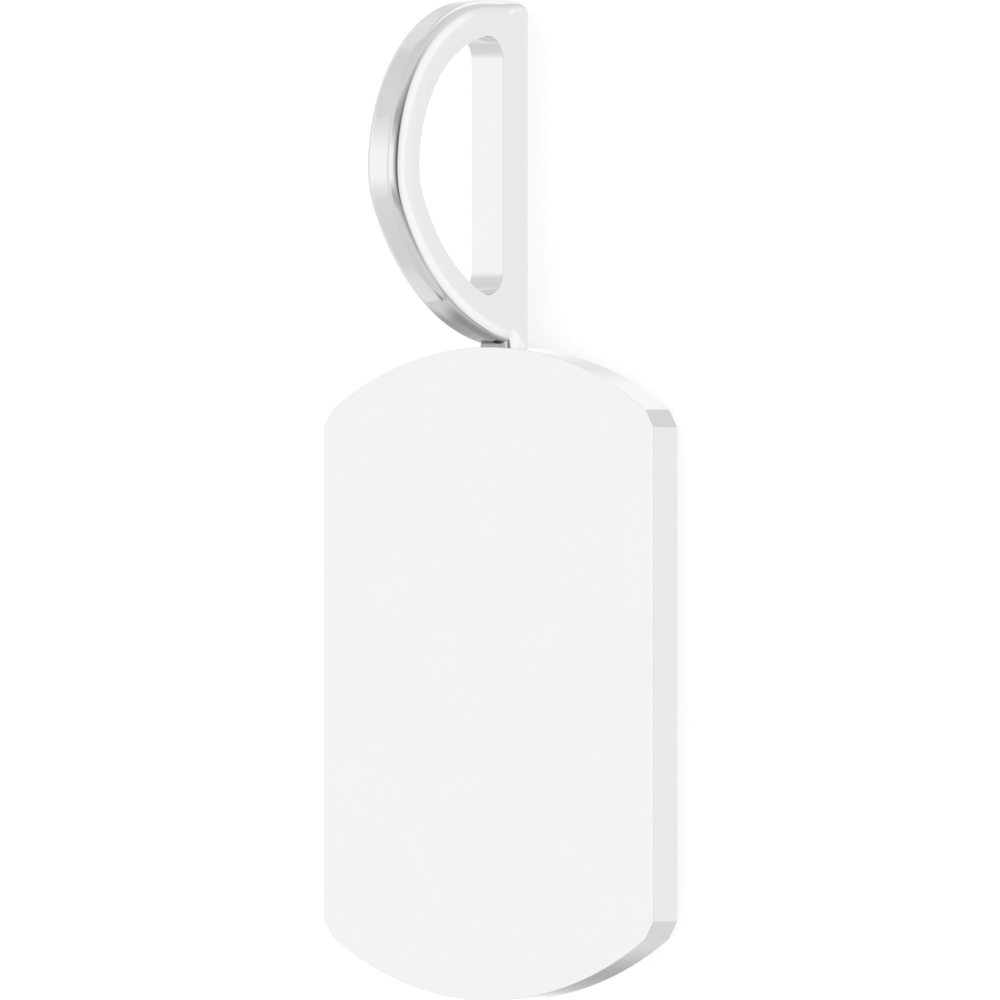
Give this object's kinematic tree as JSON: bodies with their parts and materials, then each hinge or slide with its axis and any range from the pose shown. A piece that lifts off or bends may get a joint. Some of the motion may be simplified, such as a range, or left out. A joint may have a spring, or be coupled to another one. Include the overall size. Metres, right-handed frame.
{
  "type": "dog tag pendant",
  "caption": "Plain polished dog tag pendant: an arched metal plate with clipped corners and a fixed D-shaped bail, softly rounded on its outside, that slides on a chain.",
  "frame": {"origin": "centre of the plate's flat back face, on the surface that the pendant lies on", "axes": "+X across the plate, +Y along the plate towards the bail, +Z out of the plate's front face"},
  "size_m": [0.0162, 0.0398, 0.0092],
  "materials": {
    "polished_silver": "high polish with faint wear marks, bright white silver"
  },
  "bodies": {
    "root": {"dog_tag": "polished_silver"}
  },
  "joints": []
}
